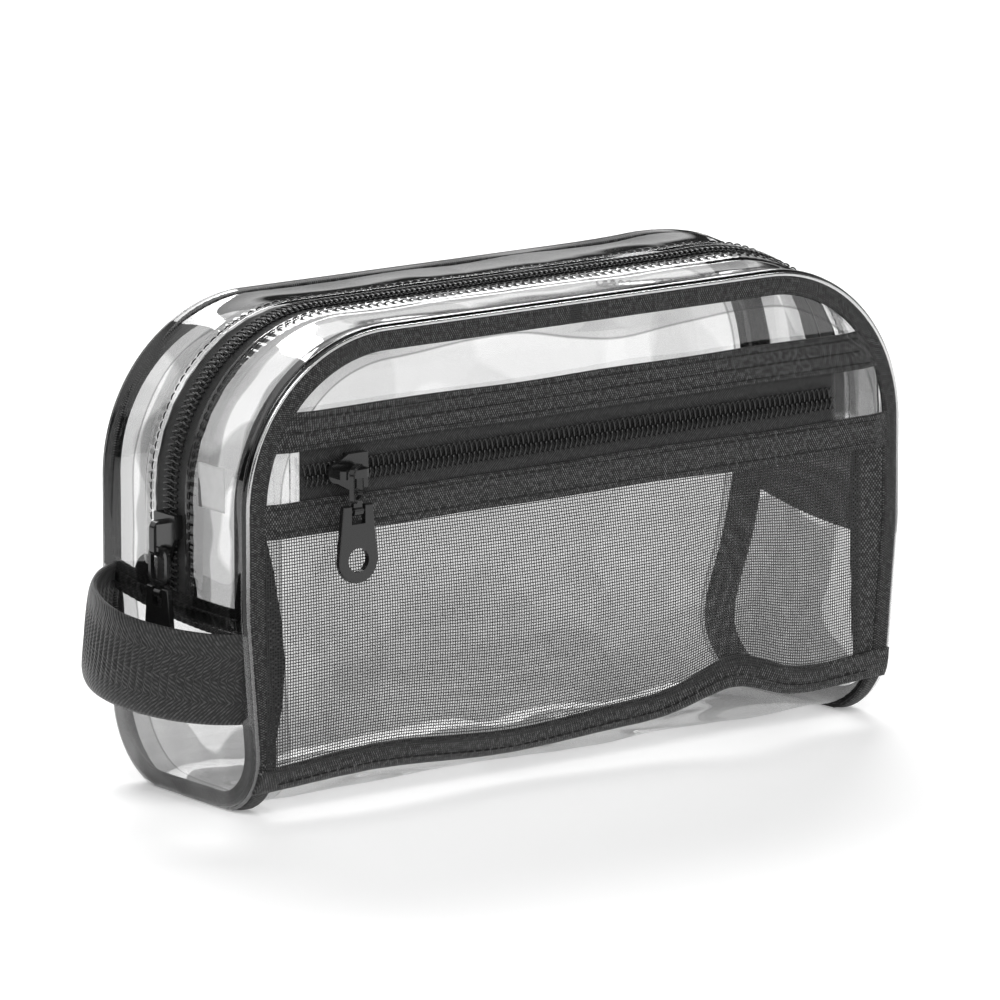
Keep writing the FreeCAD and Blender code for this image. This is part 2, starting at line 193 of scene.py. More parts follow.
def clear_sheet(name, painted_reflection_of, base=0.04, steepness=0.85, rough=0.035):
    """Glossy clear sheet: mirror-like at low angles, darker edge on; its soft grey areas are painted
    reflections, given by a shading function.
    """
    n = Nodes(name)
    place = n.add("ShaderNodeTexCoord").outputs["Object"]
    ripple = n.bump(n.noise(place, 55.0, 1.0), 0.35, 0.0011)
    facing = n.add("ShaderNodeLayerWeight", {"Blend": 0.5, "Normal": ripple}).outputs["Facing"]
    if callable(base):
        base = base(n, place)
    amount = n.math("MULTIPLY_ADD", n.math("POWER", facing, 3.6), steepness, base)
    tint = n.ramp(facing, [(0.0, 0.96), (0.6, 0.92), (0.84, 0.7), (1.0, 0.12)])
    # painted grey reflections darken the see-through colour in patches
    tint = n.math("MULTIPLY", tint, painted_reflection_of(n, place))
    clear = n.add("ShaderNodeBsdfTransparent", {"Color": tint}).outputs[0]
    gloss = n.add("ShaderNodeBsdfAnisotropic", {"Color": (1, 1, 1, 1), "Roughness": rough, "Normal": ripple})
    mix = n.add("ShaderNodeMixShader", {0: amount, 1: clear, 2: gloss.outputs[0]})
    return n.finish(mix.outputs[0])


def painted_reflection_patches(low, at=0.53, scale=22.0):
    """Painted reflection: crisp-edged grey patches multiplied into the clear sheet's see-through colour, in
    place of dark reflections.
    """
    def shade(n, place):
        return n.ramp(n.noise(place, scale, 0.4), [(at, 1.0), (at + 0.018, low + 0.06), (1.0, low)])
    return shade


def painted_rim_reflection(n, place):
    """Painted reflection: soft grey crescent along the inside of the rim, with a thin dark line at its edge.
    """
    where, near, _ = n.uv()
    wander = n.math("MULTIPLY_ADD", n.noise(where, 0.014, 1.0), 16.0, -8.0)
    band = n.math("DIVIDE", n.math("ADD", near, wander), 24.0)
    grey = n.ramp(band, [(0.0, 0.6), (0.42, 0.68), (0.44, 0.3), (0.46, 0.93), (0.9, 0.91), (1.0, 0.84)])
    return n.math("MULTIPLY", grey, painted_reflection_patches(0.84)(n, place))


def painted_gusset_reflection(n, place):
    """Painted reflection: grey bands along the gusset, beside the rim and beside the zip, with wavy edges.
    """
    where, _, across = n.uv()
    wander = n.math("MULTIPLY_ADD", n.noise(where, 0.055, 1.0), 9.0, -4.5)
    band = n.math("DIVIDE", n.math("ADD", across, wander), GUSSET_W)
    stops = [(0.0, 0.38), (0.22, 0.46), (0.27, 0.98), (0.6, 0.96), (0.63, 0.55), (0.86, 0.4), (0.9, 0.9)]
    grey = n.ramp(band, stops)
    return n.math("MULTIPLY", grey, painted_reflection_patches(0.6, 0.56, 30.0)(n, place))


def painted_rim_highlight(n, place):
    """Painted highlight: the bead's gloss share is raised along the top rim and lowered down the sides."""
    height = n.add("ShaderNodeSeparateXYZ", {0: place}).outputs["Z"]
    return n.ramp(n.math("DIVIDE", height, HEIGHT * MM), [(0.45, 0.14), (0.78, 0.62)])


def cloth(name, height_of, dark, light, rough=0.62, depth=0.00012, sheen=0.25):
    """Black woven cloth; height_of gives the weave's height from the cloth coordinates."""
    n = Nodes(name)
    where, along, across = n.uv()
    height = height_of(n, along, across)
    slub = n.noise(where, 0.9, 3.0)
    tone = n.math("MULTIPLY", height, n.math("MULTIPLY_ADD", slub, 2.4, -0.3))
    colour = n.ramp(tone, [(0.0, dark), (0.45, dark * 2.0), (1.0, light)])
    roughness = n.math("MULTIPLY_ADD", slub, 0.2, rough - 0.1)
    shader = n.add("ShaderNodeBsdfPrincipled", {
        "Base Color": colour, "Roughness": roughness, "Normal": n.bump(height, 0.8, depth),
        "Sheen Weight": sheen, "Sheen Roughness": 0.4, "Specular IOR Level": 0.35})
    return n.finish(shader.outputs[0])


def plain_weave(pitch):
    def height(n, along, across):
        cross = n.math("MULTIPLY", n.wave(along, pitch), n.wave(across, 1.7 * pitch))
        return n.math("MULTIPLY_ADD", cross, 0.5, 0.5)
    return height


def twill(pitch, width):
    """Herringbone: slanted ribs that turn back every half width."""
    def height(n, along, across):
        fold = n.math("PINGPONG", across, width / 2)
        rib = n.wave(n.math("ADD", along, fold), pitch)
        fine = n.wave(n.math("SUBTRACT", across, along), 0.55 * pitch)
        return n.math("ADD", n.math("MULTIPLY_ADD", rib, 0.36, 0.5), n.math("MULTIPLY", fine, 0.12))
    return height


def hard_black(name, tone, rough, grain, coat=0.0):
    n = Nodes(name)
    place = n.add("ShaderNodeTexCoord").outputs["Object"]
    speck = n.noise(place, grain, 3.0)
    shader = n.add("ShaderNodeBsdfPrincipled", {
        "Base Color": n.ramp(speck, [(0.3, tone * 0.8), (0.75, tone * 1.3)]),
        "Roughness": n.math("MULTIPLY_ADD", speck, 0.16, rough - 0.06),
        "Normal": n.bump(speck, 0.12, 0.0001),
        "Coat Weight": coat, "Coat Roughness": 0.12})
    return n.finish(shader.outputs[0])


def label_film():
    n = Nodes("label_film")
    place = n.add("ShaderNodeTexCoord").outputs["Object"]
    tone = n.ramp(n.noise(place, 300.0), [(0.2, 0.62), (0.8, 0.72)])
    paper = n.add("ShaderNodeBsdfPrincipled", {"Base Color": tone, "Roughness": 0.45}).outputs[0]
    clear = n.add("ShaderNodeBsdfTransparent", {"Color": (0.95, 0.95, 0.95, 1)}).outputs[0]
    return n.finish(n.add("ShaderNodeMixShader", {0: 0.6, 1: clear, 2: paper}).outputs[0])


FINISH = {
    # the clear finishes carry painted grey reflections in their see-through colour; the bead also has a
    # painted highlight along the top rim
    "clear_vinyl": clear_sheet("clear_vinyl", painted_rim_reflection, 0.09),
    "clear_gusset": clear_sheet("clear_gusset", painted_gusset_reflection),
    "clear_end": clear_sheet("clear_end", painted_reflection_patches(0.5, 0.5, 34.0)),
    "clear_bead": clear_sheet("clear_bead", painted_reflection_patches(0.9, 0.6, 40.0), painted_rim_highlight, 0.35, 0.16),
    "black_binding": cloth("black_binding", plain_weave(0.7), 0.003, 0.12, 0.6, 0.0002, 0.04),
    "black_zip_tape": cloth("black_zip_tape", twill(0.85, 5.2), 0.004, 0.06),
    "black_coil": hard_black("black_coil", 0.012, 0.22, 900.0),
    "black_strip": cloth("black_strip", plain_weave(0.74), 0.003, 0.16, 0.6, 0.0002, 0.04),
    "black_mesh": hard_black("black_mesh", 0.014, 0.5, 1500.0),
    "black_webbing": cloth("black_webbing", twill(1.1, 12.5), 0.006, 0.07, 0.5, 0.0002),
    "black_metal": hard_black("black_metal", 0.009, 0.2, 1800.0, 0.2),
    "label_film": label_film(),
}

# ---------------------------------------------------------------- mesh helpers


def hump(value, amount, middle, spread):
    return amount * math.exp(-((value - middle) / spread) ** 2)


def relaxed(p):
    """Soft shape of the whole bag: the right back corner is pushed out from inside."""
    x, y, z = p
    s = ARCH - LEAN - WALL - BEND / 2
    cx, cz, nx, nz = arch(s)
    near = math.exp(-((x - cx) ** 2 + (z - cz) ** 2) / SQUARE_SPREAD ** 2)
    back = ease((y + HALF_D) / (2 * HALF_D))
    push = SQUARE_CORNER * near * back
    side = ease((x - 50) / 60) * back
    lean = hump(z, *PUSH_HIGH) - hump(z, *PUSH_LOW)
    return Vector((x + nx * push + lean * side, y, max(FLOOR_GAP, z + nz * push)))


def new_piece(name, points, faces, slot, uvs=None, replaces=(), smooth=True, finish=None):
    """A mesh from millimetre points that rides on the bag and takes its finish from a slot."""
    mesh = bpy.data.meshes.new(name)
    mesh.from_pydata([relaxed(p) * MM for p in points], [], faces)
    if uvs:
        layer = mesh.uv_layers.new(name="cloth")
        for loop in mesh.loops:
            layer.data[loop.index].uv = uvs[loop.vertex_index]
    mesh.materials.append(FINISH[finish or slot])
    mesh.validate()
    piece = bpy.data.objects.new(name, mesh)
    bpy.context.collection.objects.link(piece)
    if smooth:
        mesh.shade_smooth()
    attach(piece, "root")
    if replaces:
        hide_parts(*replaces)
    return piece


def grid(name, rows, cols, point, slot, uv=None, thick=0.0, wrap=False, **more):
    """A sheet through point(row, col); thick closes it into a solid, half on each side."""
    points = [point(r, c) for r in rows for c in cols]
    uvs = [uv(r, c) if uv else (r, c) for r in rows for c in cols]
    wide = len(cols)
    faces = []
    for i in range(len(rows) - (0 if wrap else 1)):
        j = (i + 1) % len(rows)
        for k in range(wide - 1):
            faces.append((i * wide + k, i * wide + k + 1, j * wide + k + 1, j * wide + k))
    piece = new_piece(name, points, faces, slot, uvs, **more)
    if thick:
        solid = piece.modifiers.new("thickness", "SOLIDIFY")
        solid.thickness = thick * MM
        solid.offset = 0
    return piece


def steps(start, end, size):
    count = max(1, round(abs(end - start) / size))
    return [start + (end - start) * i / count for i in range(count + 1)]


def tube(points, faces, path, radius, sides, up, capped=True, flat=1.0):
    """Add a tube along the path; up(point index) is a direction that is never along it."""
    base = len(points)
    last = len(path) - 1
    for i, centre in enumerate(path):
        along = (path[min(i + 1, last)] - path[max(i - 1, 0)]).normalized()
        side = along.cross(up(i)).normalized()
        top = side.cross(along)
        r = radius(i / last) if callable(radius) else radius
        for k in range(sides):
            a = 2 * math.pi * k / sides
            points.append(centre + side * (r * math.cos(a)) + top * (r * flat * math.sin(a)))
    for i in range(last):
        for k in range(sides):
            m = (k + 1) % sides
            a = base + i * sides
            faces.append((a + k, a + m, a + sides + m, a + sides + k))
    if capped:
        faces.append(tuple(base + k for k in reversed(range(sides))))
        faces.append(tuple(base + last * sides + k for k in range(sides)))


def ripple(x, y, seed=0.0):
    """Smooth uneven ripple from about -1 to 1, the same on every run."""
    return noise.noise(Vector((x, y, seed))) * 1.6


def ease(x):
    x = min(1.0, max(0.0, x))
    return x * x * (3 - 2 * x)


def rolled(d, r=ROLL_R):
    """How far a rounded edge falls back at distance d from the edge."""
    if d >= r:
        return 0.0
    return r - math.sqrt(max(0.0, r * r - (r - max(d, 0.0)) ** 2))

# ---------------------------------------------------------------- the bag's outline


LEAN = math.hypot(TAPER, SEAM_Z)
CORNER_Z = HEIGHT - TOP_R
CORNER_X = HALF_W - TOP_R
WALL = CORNER_Z - SEAM_Z
BEND = TOP_R * math.pi / 2
ARCH = 2 * (LEAN + WALL + BEND + CORNER_X)


def arch(s):
    """x, z and outward direction at distance s along the front view's outline, from the left base."""
    if s > ARCH / 2:
        x, z, nx, nz = arch(ARCH - s)
        return -x, z, -nx, nz
    if s < LEAN:
        return -HALF_W + TAPER * (1 - s / LEAN), SEAM_Z * s / LEAN, -SEAM_Z / LEAN, -TAPER / LEAN
    s -= LEAN
    if s < WALL:
        return -HALF_W, SEAM_Z + s, -1.0, 0.0
    s -= WALL
    if s < BEND:
        a = s / TOP_R
        return (-CORNER_X - TOP_R * math.cos(a), CORNER_Z + TOP_R * math.sin(a), -math.cos(a), math.sin(a))
    return -CORNER_X + s - BEND, HEIGHT, 0.0, 1.0


def arch_at(z):
    """Distance along the outline of a height on the left side's wall."""
    return LEAN * z / SEAM_Z if z < SEAM_Z else LEAN + z - SEAM_Z


def half_width(z):
    if z < SEAM_Z:
        return HALF_W - TAPER * (1 - z / SEAM_Z)
    if z < CORNER_Z:
        return HALF_W
    return CORNER_X + math.sqrt(max(0.0, TOP_R ** 2 - (z - CORNER_Z) ** 2))


def rim_distance(x, z):
    """Distance inside the front view's outline."""
    if z > CORNER_Z and abs(x) > CORNER_X:
        return TOP_R - math.hypot(abs(x) - CORNER_X, z - CORNER_Z)
    if z > CORNER_Z:
        return min(HEIGHT - z, half_width(z) - abs(x))
    return half_width(z) - abs(x)


FACE = HEIGHT - BASE_R
TURN = BASE_R * math.pi / 2
FLOOR_W = 2 * (HALF_D - BASE_R)
CRADLE = 2 * (FACE + TURN) + FLOOR_W


def cradle(t):
    """y, z and outward direction at distance t down the front, under the bag and up the back."""
    if t > CRADLE / 2:
        y, z, ny, nz = cradle(CRADLE - t)
        return -y, z, -ny, nz
    if t < FACE:
        return -HALF_D, HEIGHT - t, -1.0, 0.0
    t -= FACE
    if t < TURN:
        a = t / BASE_R
        return (-HALF_D + BASE_R * (1 - math.cos(a)), BASE_R * (1 - math.sin(a)), -math.cos(a), -math.sin(a))
    return -HALF_D + BASE_R + t - TURN, 0.0, 0.0, -1.0


def half_depth(z):
    if z > BASE_R:
        return HALF_D
    return HALF_D - BASE_R + math.sqrt(max(0.0, BASE_R ** 2 - (BASE_R - z) ** 2))


def seam_height(y):
    """Height of the side seams: higher at the back, sagging in the middle."""
    share = y / HALF_D
    return SEAM_Z + SEAM_RISE * share - SEAM_SAG * (1 - share * share) + 0.5


# ---------------------------------------------------------------- clear sheets

# distances of mesh lines from a sewn edge and from the zip, closer where the sheet bends
NEAR_EDGE = [0.0, 0.25, 0.5, 0.8, 1.1, 1.5, 2.2, 3.2, 4.6, 6.3]
NEAR_ZIP = [7.4, 6.9, 6.4, 5.4, 4.4, 3.6, 3.0, 2.4, 1.6, 0.9, 0.5, 0.25, 0.0]


def both_edges(half, size):
    """Values from -half to half, close together at both ends, as shares of half."""
    inner = steps(-half + 8.0, half - 8.0, size)
    values = [-half + d for d in NEAR_EDGE] + inner + [half - d for d in reversed(NEAR_EDGE)]
    return [v / half for v in values]


def wrap_point(t, share):
    """The one sheet that makes the front, bottom and back."""
    y, z, ny, nz = cradle(t)
    x = share * half_width(z)
    edge = rim_distance(x, z)
    free = ease(edge / 14)
    upright = abs(ny)
    if y > 0:
        swell = 2.2 * free * math.sin(math.pi * min(1.0, z / HEIGHT))
        swell += 0.9 * free * ripple(x / 34, z / 22, 3.0)
    else:
        above = ease((z - 110) / 10)
        swell = free * (0.25 + 0.9 * above) * ripple(x / 30, z / 17, 1.0) + 0.7 * above * free
    belly = free * (0.5 + 1.1 * ripple(x / 24, y / 30, 7.0)) * (1 - ease((z - 2) / 22))
    out = (swell * upright + belly * upright) - rolled(edge)
    lift = 1.5 * free * (0.6 + 0.6 * ripple(x / 20, y / 14, 9.0)) * (1 - upright)
    return x, y + ny * out, max(0.12, z + nz * min(out, 0.0) + max(0.0, lift))


def wrap_rows():
    heights = [CORNER_Z + TOP_R * math.sin(math.radians(a)) for a in steps(90, 0, 4.0)]
    down = [HEIGHT - z for z in heights] + steps(TOP_R, FACE, 3.2)[1:]
    under = steps(FACE, CRADLE - FACE, 2.6)[1:-1]
    return down + under + [CRADLE - t for t in reversed(down)]


def gusset_point(side):
    """Clear strip between the rim and the zip; rows run along the arch, columns from the rim inwards."""
    def point(s, d):
        y = side * (HALF_D - d)
        low = arch_at(seam_height(y)) - 2.5
        along = max(low, min(ARCH - low, s))
        x, z, nx, nz = arch(along)
        to_zip = GUSSET_W - d
        crown = math.sin(math.pi * min(1.0, d / GUSSET_W))
        out = 0.55 * crown * ripple(along / 26, side * 2 + d / 20, 5.0) - 0.9 * crown
        out += 0.55 * ease((HEM - to_zip) / 0.8) - rolled(to_zip, 0.6)
        pucker = math.exp(-((to_zip - 3.0) / 1.6) ** 2)
        out += 0.17 * pucker * math.sin(2 * math.pi * along / STITCH_PITCH)
        out -= rolled(d, 0.8)
        return x + nx * out, y, z + nz * out
    return point


def side_point(side):
    """Lower end panel, from its seam down to the floor."""
    def point(drop, share):
        y0 = share * HALF_D
        z = (seam_height(y0) + 1.5) * (1 - drop)
        y = share * half_depth(z)
        edge = min(half_depth(z) - abs(y), z + 0.3)
        free = ease(edge / 12)
        out = 1.6 * free + 0.9 * free * ripple(y / 13, z / 10, 11.0 + side) - rolled(edge)
        return side * (half_width(z) + out), y, max(0.1, z)
    return point


def add_clear_sheets():
    def from_rim(t, share):
        z = cradle(t)[1]
        x = share * half_width(z)
        return rim_distance(x, z), x

    wrap = grid("clear_wrap", wrap_rows(), both_edges(HALF_W, 2.6), wrap_point, "clear_vinyl",
                uv=from_rim, replaces=["body_sheet"])
    across = NEAR_EDGE + steps(8.0, GUSSET_W - 8.4, 1.8) + [GUSSET_W - d for d in NEAR_ZIP]
    for side, node in ((-1, "gusset_strip_front"), (1, "gusset_strip_back")):
        rows = steps(LEAN - 8, ARCH - LEAN + 8, STITCH_PITCH / 4)
        strip = grid("clear_" + node, rows, across, gusset_point(side), "clear_vinyl", replaces=[node],
                     finish="clear_gusset")
    for side, node in ((-1, "side_panel_left"), (1, "side_panel_right")):
        panel = grid("clear_" + node, steps(0, 1, 0.03), both_edges(HALF_D, 1.6), side_point(side),
                     "clear_vinyl", uv=lambda r, c: (r * SEAM_Z, c * HALF_D), replaces=[node],
                     finish="clear_end")

# ---------------------------------------------------------------- binding and seams


def corner_loop():
    """The sewn corner all round: place, inward direction behind the face, inward direction in the arch."""
    quarter = [(x, -HALF_D, HEIGHT, (0, 1, 0), (0, 0, -1)) for x in steps(0, CORNER_X, 4)[:-1]]
    for a in steps(90, 0, 3.5):
        c, s = math.cos(math.radians(a)), math.sin(math.radians(a))
        quarter.append((CORNER_X + TOP_R * c, -HALF_D, CORNER_Z + TOP_R * s, (0, 1, 0), (-c, 0, -s)))
    for t in steps(TOP_R, CRADLE / 2, 2.4)[1:]:
        y, z, ny, nz = cradle(t)
        quarter.append((half_width(z), y, z, (0, -ny, -nz), (-1, 0, 0)))
    back = [(x, -y, z, (0, -a[1], a[2]), b) for x, y, z, a, b in reversed(quarter[:-1])]
    right = quarter + back
    left = [(-x, y, z, a, (-b[0], b[1], b[2])) for x, y, z, a, b in reversed(right[1:-1])]
    return right + left


def binding_profile():
    """Depth behind the face and depth in the arch, across the folded binding."""
    mid = SHEET_T + 0.15 + BIND_T / 2
    proud = -0.1 - BIND_T / 2
    under = 0.3 + BIND_T / 2
    across = [(proud, b) for b in steps(BIND_FACE, 2.6, 0.7)]
    across += [(proud + 0.3, 2.1), (proud + 0.8, 1.6), (mid - 0.5, 1.1), (mid, under)]
    across += [(a, under) for a in steps(mid + 0.6, BIND_SIDE, 0.7)]
    return across


def add_binding():
    loop = corner_loop()
    profile = binding_profile()
    travelled = [0.0]
    for one, two in zip(loop, loop[1:]):
        travelled.append(travelled[-1] + (Vector(two[:3]) - Vector(one[:3])).length)

    def point(i, k):
        x, y, z, a, b = loop[i]
        depth, inset = profile[k]
        place = Vector((x, y, z)) + Vector(a) * depth + Vector(b) * inset
        face = ease((BIND_FACE - inset) / 0.7) * ease((inset - 1.5) / 1.2)
        place -= Vector(a) * (face * (0.25 + 0.12 * ripple(travelled[i] / 9, k / 5, 21.0)))
        place.z = max(place.z, FLOOR_GAP + BIND_T / 2)
        return tuple(place)

    indices = list(range(len(loop)))
    grid("woven_binding", indices, list(range(len(profile))), point, "black_binding",
         uv=lambda i, k: (travelled[i], k * 0.7), thick=BIND_T, wrap=True, replaces=["seam_binding"])


def add_bead():
    """Rounded clear edge where the front and back sheets turn over the binding."""
    loop = corner_loop()
    points, faces, path, ups = [], [], [], []
    for x, y, z, a, b in loop + loop[:1]:
        path.append(Vector((x, y, z)) - Vector(a) * 0.2 + Vector(b) * 1.35)
        ups.append(Vector(a))
    tube(points, faces, path, BEAD_R, 8, lambda i: ups[i], False)
    new_piece("clear_edge_bead", points, faces, "clear_vinyl", finish="clear_bead")


def add_side_seams():
    for side, node in ((-1, "side_seam_tape_left"), (1, "side_seam_tape_right")):
        def point(v, y):
            z = seam_height(y) + v
            lump = 0.18 * math.sin(2 * math.pi * y / STITCH_PITCH) * math.cos(v * 0.9)
            return side * (half_width(z) - 1.15 + lump), y, z
        grid("woven_" + node, steps(-4.2, 4.2, 0.7), steps(-HALF_D + 1.6, HALF_D - 1.6, 0.68), point,
             "black_binding", thick=SEAM_TAPE_T, replaces=[node])


PATCH_BACK = 20.0
PATCHES = ((-1, "left", 10.5, -9.0), (1, "right", 22.0, -17.0))     # side, name, rise, front edge


def add_zip_end_patches():
    """Woven patches, narrower at the top, sewn into the side seams behind the main zip's ends."""
    for side, word, rise, front in PATCHES:
        def point(v, y):
            y *= 1 - 0.24 * (v / rise) ** 3
            z = seam_height(y) + v * (1 - 0.12 * abs(y / PATCH_BACK))
            z += 0.4 * ripple(y / 7, side, 91.0) * v / rise
            return side * (half_width(z) - 1.75 - 0.12 * ripple(y / 5, z / 5, 93.0)), y, z
        grid("zip_end_patch_" + word, steps(0, rise, 0.9), steps(front, PATCH_BACK, 0.8), point,
             "black_binding", thick=PATCH_T)


# ---------------------------------------------------------------- zips

ZIP_END = span("main_zip_tape_front")[0][2]


def add_main_zip():
    start = arch_at(ZIP_END) - 0.5
    rows = steps(start, ARCH - start, 2.5)
    for side, word in ((-1, "front"), (1, "back")):
        def tape(s, d):
            x, z, nx, nz = arch(s)
            wave = 0.12 * math.sin(2 * math.pi * s / STITCH_PITCH / 3) * ease(d / 3)
            inset = SHEET_T + 0.45 - wave
            return x - nx * inset, side * d, z - nz * inset
        piece = grid("main_tape_" + word, rows, steps(0.1, ZIP_TAPE_W, 0.75), tape, "black_zip_tape",
                     thick=ZIP_TAPE_T, replaces=["main_zip_tape_" + word])
        add_coil("main_coil_" + word, "main_zip_coil_" + word, side, start, ARCH - start, arch_frame)


def arch_frame(s):
    """Middle of the main coil, the way across it and the way out of it."""
    x, z, nx, nz = arch(s)
    return Vector((x + nx * COIL_PROUD, 0, z + nz * COIL_PROUD)), Vector((0, 1, 0)), Vector((nx, 0, nz))


POCKET_LOW, POCKET_HIGH = span("pocket_zip_coil_upper")
POCKET_LOWER = span("pocket_zip_coil_lower")[0]
POCKET_Z = (POCKET_HIGH[2] + POCKET_LOWER[2]) / 2
POCKET_MID_Y = (POCKET_LOW[1] + POCKET_HIGH[1]) / 2


def pocket_frame(x):
    return Vector((x, POCKET_MID_Y, POCKET_Z)), Vector((0, 0, 1)), Vector((0, -1, 0))


def add_coil(name, node, side, start, end, frame_at):
    """One coil row: a flattened helix whose turns mesh with the other row's."""
    points, faces, path, ups = [], [], [], []
    shift = 0.0 if side > 0 else COIL_PITCH / 2
    turns = int((end - start) / COIL_PITCH) - 1
    for i in range(turns * TURN_STEPS + 1):
        a = 2 * math.pi * i / TURN_STEPS
        centre, across, out = frame_at(start + shift + COIL_PITCH * i / TURN_STEPS)
        reach = COIL_MID + COIL_REACH * math.cos(a)
        path.append(centre + across * (side * reach) + out * (COIL_RISE * math.sin(a)))
        ups.append(out * math.sin(a) + across * (0.5 * side * math.cos(a)))
    tube(points, faces, path, WIRE_R, 5, lambda i: ups[i])
    new_piece(name, points, faces, "black_coil", replaces=[node])


# ---------------------------------------------------------------- front pocket

WOVEN_Y = -HALF_D - 2.25
STRIP_T = 0.7
UNDER_RIM = 5.2        # pocket layers end this far inside the outline, under the binding
POCKET_TAPE_Y = -HALF_D - 1.68
POCKET_TAPE_T = 0.4
BASE_TAPE_W = 7.4
BASE_TAPE_T = 0.8
BASE_TAPE_ENDS = (-105.0, 105.5)
SIDE_TAPE_Y = -HALF_D - 0.6
SIDE_TAPE_T = 0.6


def flat_strip(name, node, x_of, zs, y, slot, thick, size=2.0, bend=None):
    """A woven strip on the front, from x_of(z, side) left to right."""
    def point(z, share):
        left, right = x_of(z, -1), x_of(z, 1)
        x = left + (right - left) * (share + 1) / 2
        dy, dz = bend(x, z) if bend else (0.0, 0.0)
        return x, y + dy, z + dz
    left, right = x_of(zs[0], -1), x_of(zs[0], 1)
    half = (right - left) / 2
    piece = grid(name, zs, [v / half for v in steps(-half, half, size)], point, slot,
                 uv=lambda z, c: (c * half, z), thick=thick, replaces=[node])


def to_rim(z, side):
    return side * (half_width(z) - UNDER_RIM)


def tuck(x, z):
    """How far a pocket layer drops back to pass under the binding at its two ends."""
    return 1.5 * ease(1 - (rim_distance(x, z) - UNDER_RIM) / 6)


def strip_bend(seed):
    def bend(x, z):
        return tuck(x, z) - 0.12 * ripple(x / 16, z / 6, seed), 0.35 * ripple(x / 40, 0.0, seed + 1)
    return bend


def add_pocket():
    for word, seed in (("upper", 31.0), ("lower", 35.0)):
        node = "pocket_%s_strip" % word
        low, high = span(node)
        flat_strip("pocket_strip_" + word, node, to_rim, steps(low[2], high[2], 0.8), WOVEN_Y, "black_strip",
                   STRIP_T, bend=strip_bend(seed))
    tape_low, tape_high = span("pocket_zip_tape_upper")

    def tape_ends(z, side):
        return tape_low[0] if side < 0 else tape_high[0]

    for side, word in ((-1, "lower"), (1, "upper")):
        low, high = span("pocket_zip_tape_" + word)
        near, far = sorted((POCKET_Z, low[2] if side < 0 else high[2]))
        flat_strip("pocket_tape_" + word, "pocket_zip_tape_" + word, tape_ends, steps(near, far, 0.8),
                   POCKET_TAPE_Y, "black_zip_tape", POCKET_TAPE_T)
        add_coil("pocket_coil_" + word, "pocket_zip_coil_" + word, side, tape_low[0], tape_high[0],
                 pocket_frame)
    add_end_tabs()
    add_pocket_tapes()
    add_net()


def add_end_tabs():
    """Clear folded tabs at the two ends of the pocket's zip."""
    for side, word in ((-1, "left"), (1, "right")):
        low, high = span("pocket_end_tab_" + word)
        inner = high[0] if side < 0 else low[0]
        outer = to_rim(high[2], side)

        def point(z, share):
            x = inner + (outer - inner) * share
            d = abs(x - inner)
            y = -HALF_D - 2.0 + rolled(d, 0.6) + 0.12 * ripple(x / 5, z / 6, 41.0) + 0.8 * tuck(x, z)
            y -= 0.35 * math.exp(-((d - 2.2) / 0.7) ** 2)
            return x, y, z

        shares = [d / abs(outer - inner) for d in [0, 0.1, 0.25, 0.45, 0.7, 1.2, 1.6, 2.0, 2.4, 2.8, 3.4]]
        shares += steps(0.4, 1.0, 0.09)
        grid("pocket_end_" + word, steps(low[2], high[2], 1.2), shares, point, "clear_vinyl",
             thick=TAB_T, replaces=["pocket_end_tab_" + word], finish="clear_end")


NET_LOW, NET_HIGH = span("pocket_mesh")
NET_STAND = 1.4        # net off the front sheet at its edges
NET_BELLY = 3.6        # and how much more in its middle
THREAD_R = NET_THREAD * 0.667
THREAD_FLAT = 0.2
WAVE = (8.5, 52.0, 17.0)     # wave in the pocket's lower edge: height, place, spread


def base_lift(x):
    """How far the pocket's lower edge is drawn up: one clear wave right of the middle."""
    return hump(x, *WAVE) + 1.3 * math.sin(x / 14) + 3.0 * ease((x - 20) / 70)


def net_depth(x, z):
    """How far the net stands off the front sheet."""
    across = (x - NET_LOW[0]) / (NET_HIGH[0] - NET_LOW[0])
    up = (z - NET_LOW[2]) / (NET_HIGH[2] - NET_LOW[2])
    belly = max(0.0, math.sin(math.pi * min(1, max(0, across)))) ** 0.6
    belly *= max(0.0, math.sin(math.pi * min(1, max(0, up)))) ** 0.8
    return NET_STAND + NET_BELLY * belly + 0.45 * belly * ripple(x / 26, z / 18, 51.0)


def add_pocket_tapes():
    base = span("pocket_bottom_tape")[0][2]

    def bottom(v, x):
        z = base + v + base_lift(x) * (0.85 + 0.15 * v / 7) - 0.5
        depth = HALF_D
        if z < BASE_R:
            depth = half_depth(z)
        crease = 0.25 * ripple(x / 7, v / 4, 61.0)
        return x, -depth - 1.35 - crease - 0.02 * base_lift(x), z

    piece = grid("pocket_tape_bottom", steps(0, BASE_TAPE_W, 0.75), steps(*BASE_TAPE_ENDS, 1.5), bottom,
                 "black_strip", uv=lambda v, x: (x, v), thick=BASE_TAPE_T, replaces=["pocket_bottom_tape"])
    for side, word in ((-1, "left"), (1, "right")):
        low, high = span("pocket_side_tape_" + word)
        inner = high[0] if side < 0 else low[0]

        def ends(z, at, inner=inner, side=side, low=low, high=high):
            rim = side * (half_width(z) - 2.2)
            up = (z - low[2]) / (high[2] - low[2])
            if side < 0:
                bow = -103.2 + 5.6 * math.sin(math.pi * min(1.0, max(0.0, 0.95 * up + 0.12))) ** 1.3
                return rim if at < 0 else bow + 0.3 * ripple(z / 9, 0.0, 64.0)
            wedge = inner - 1.2 * math.sin(math.pi * up) + 0.4 * ripple(z / 9, 1.0, 64.0)
            return wedge if at < 0 else rim

        flat_strip("pocket_tape_" + word, "pocket_side_tape_" + word, ends, steps(low[2] - 1, high[2], 2.0),
                   SIDE_TAPE_Y, "black_strip", SIDE_TAPE_T,
                   size=1.5,
                   bend=lambda x, z: (-0.15 * ripple(x / 4, z / 8, 66.0) * (1 - tuck(x, z)), 0.0))


